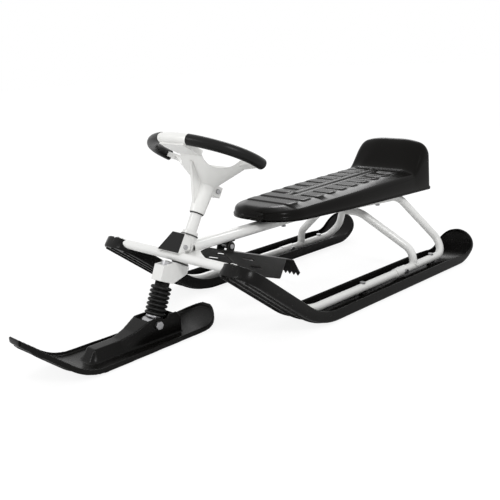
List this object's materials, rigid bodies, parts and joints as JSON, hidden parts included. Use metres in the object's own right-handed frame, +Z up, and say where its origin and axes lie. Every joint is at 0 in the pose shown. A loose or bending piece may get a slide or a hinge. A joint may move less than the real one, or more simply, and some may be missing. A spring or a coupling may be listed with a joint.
{
  "type": "steering sled",
  "caption": "Low sled on twin runner skis with a tube frame, long moulded seat, leaning column with a half-round steering wheel, sprung front ski under a ribbed boot and a toothed foot brake.",
  "frame": {"origin": "centre of the bounding box on the ground", "axes": "+X forward, +Y to the rider's left, +Z up"},
  "size_m": [1.2, 0.5, 0.4232],
  "materials": {
    "frame_white": "gloss",
    "ski_black": "satin",
    "seat_black": "gloss",
    "wheel_white": "gloss",
    "grip_rubber": "matte",
    "boot_rubber": "matte",
    "plate_black": "satin",
    "brake_black": "satin",
    "bush_grey": "satin",
    "bolt_steel": "satin"
  },
  "bodies": {
    "frame": {"runner_tube_left": "frame_white", "runner_tube_right": "frame_white", "rear_tube_left": "frame_white", "rear_tube_right": "frame_white", "tube_sleeve_left": "frame_white", "tube_sleeve_right": "frame_white", "middle_hoop": "frame_white", "cross_tube": "frame_white", "gusset_left": "frame_white", "gusset_right": "frame_white", "head_tube": "frame_white", "head_bushes": "bush_grey", "head_bracket": "frame_white", "head_plate": "plate_black", "bracket_bolts": "bolt_steel", "runner_ski_left": "ski_black", "runner_ski_right": "ski_black", "ski_bolts": "bolt_steel", "seat": "seat_black", "seat_bolts": "bolt_steel", "brake_hanger": "brake_black", "brake_pin": "bolt_steel", "brake_spring": "bolt_steel"},
    "steering": {"column": "frame_white", "lock_collar": "frame_white", "steering_wheel": "wheel_white", "grip_left": "grip_rubber", "grip_right": "grip_rubber", "wheel_bolt": "bolt_steel", "stem_ring": "boot_rubber", "fork": "frame_white", "strut_guide": "bolt_steel", "strut_spring": "bolt_steel", "boot": "boot_rubber"},
    "strut": {"strut_rod": "bolt_steel"},
    "front_ski_unit": {"front_ski": "ski_black", "pivot_bolt": "bolt_steel", "pivot_nut": "bolt_steel", "pivot_spacers": "bush_grey"},
    "brake": {"brake_plate": "brake_black"}
  },
  "joints": [
    {"name": "steering_turn", "type": "hinge", "parent": "frame", "child": "steering", "pos_m": [0.188, 0, 0.175], "axis": [-0.5, 0, 0.866], "range_deg": [-30, 30]},
    {"name": "strut_slide", "type": "slide", "parent": "steering", "child": "strut", "axis": [-0.4067, 0, 0.9135], "range_m": [0, 0.02], "stiffness_N_per_m": 12000, "springref_m": -0.004, "deforming": ["boot", "strut_spring"]},
    {"name": "ski_pitch", "type": "hinge", "parent": "strut", "child": "front_ski_unit", "pos_m": [0.298, 0, 0.04], "axis": [0, 1, 0], "range_deg": [-10, 12]},
    {"name": "brake_press", "type": "hinge", "parent": "frame", "child": "brake", "pos_m": [0.07, 0, 0.154], "axis": [0, -1, 0], "range_deg": [0, 12], "stiffness_Nm_per_rad": 3, "springref_deg": -17.19, "deforming": ["brake_spring"]}
  ]
}
